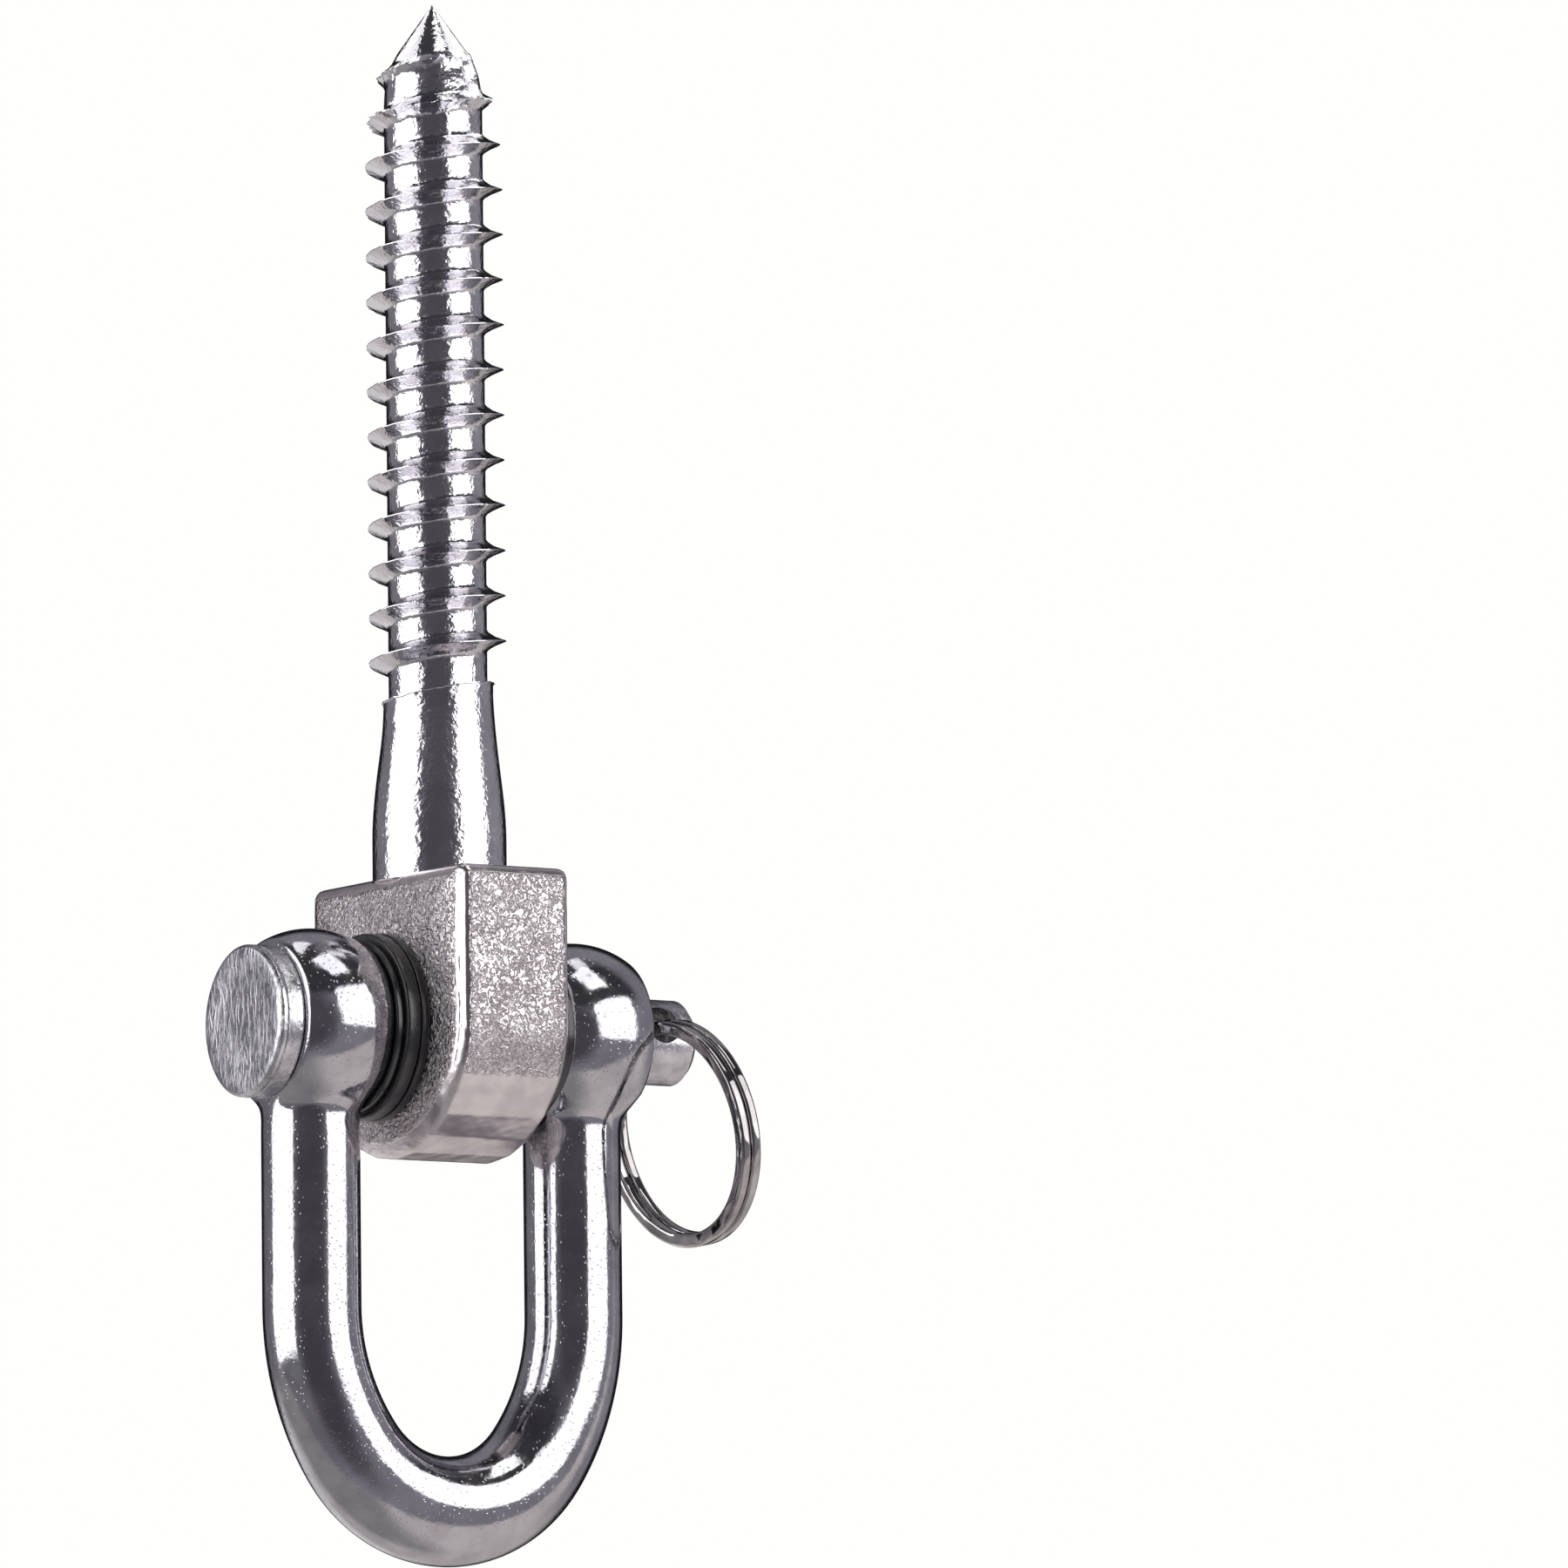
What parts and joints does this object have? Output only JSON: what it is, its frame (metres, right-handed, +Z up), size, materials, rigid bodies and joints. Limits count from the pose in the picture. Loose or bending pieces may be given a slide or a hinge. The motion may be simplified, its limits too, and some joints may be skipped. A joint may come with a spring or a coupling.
{
  "type": "swing hanger with lag screw and shackle",
  "caption": "Lag screw and cast pivot block carrying a D-shackle on a clevis pin held by a split ring, for hanging a swing from a beam.",
  "frame": {"origin": "where the screw's axis meets the block's flat top face, which seats on the beam", "axes": "+Z up the screw to its point, +X along the clevis pin from its head to its split ring, +Y across the block"},
  "size_m": [0.0492, 0.0276, 0.1456],
  "materials": {
    "polished_screw_steel": "polished stainless steel",
    "cast_steel": "cast stainless steel with a fine pebbled skin",
    "forged_steel": "tumbled and polished stainless steel",
    "pin_steel": "tumbled stainless steel",
    "ring_steel": "bright spring steel",
    "black_nylon": "black nylon",
    "black_rubber": "black rubber"
  },
  "bodies": {
    "hanger": {"lag_screw": "polished_screw_steel", "hanger_block": "cast_steel", "flanged_bush_left": "black_nylon", "flanged_bush_right": "black_nylon", "spacer_ring_left": "black_rubber", "spacer_ring_right": "black_rubber"},
    "shackle": {"shackle": "forged_steel", "ear_washer_left": "black_nylon", "ear_washer_right": "black_nylon"},
    "pin": {"clevis_pin": "pin_steel"},
    "ring": {"split_ring": "ring_steel"}
  },
  "joints": [
    {"name": "shackle_swing", "type": "hinge", "parent": "hanger", "child": "shackle", "pos_m": [0, 0, -0.0141], "axis": [1, 0, 0], "range_deg": [-160, 160]},
    {"name": "pin_turn", "type": "hinge", "parent": "shackle", "child": "pin", "pos_m": [0, 0, -0.0141], "axis": [1, 0, 0], "continuous": true},
    {"name": "ring_swing", "type": "hinge", "parent": "pin", "child": "ring", "pos_m": [0.022, 0, -0.0141], "axis": [0, -0.9336, 0.3584], "range_deg": [-15, 170]}
  ]
}
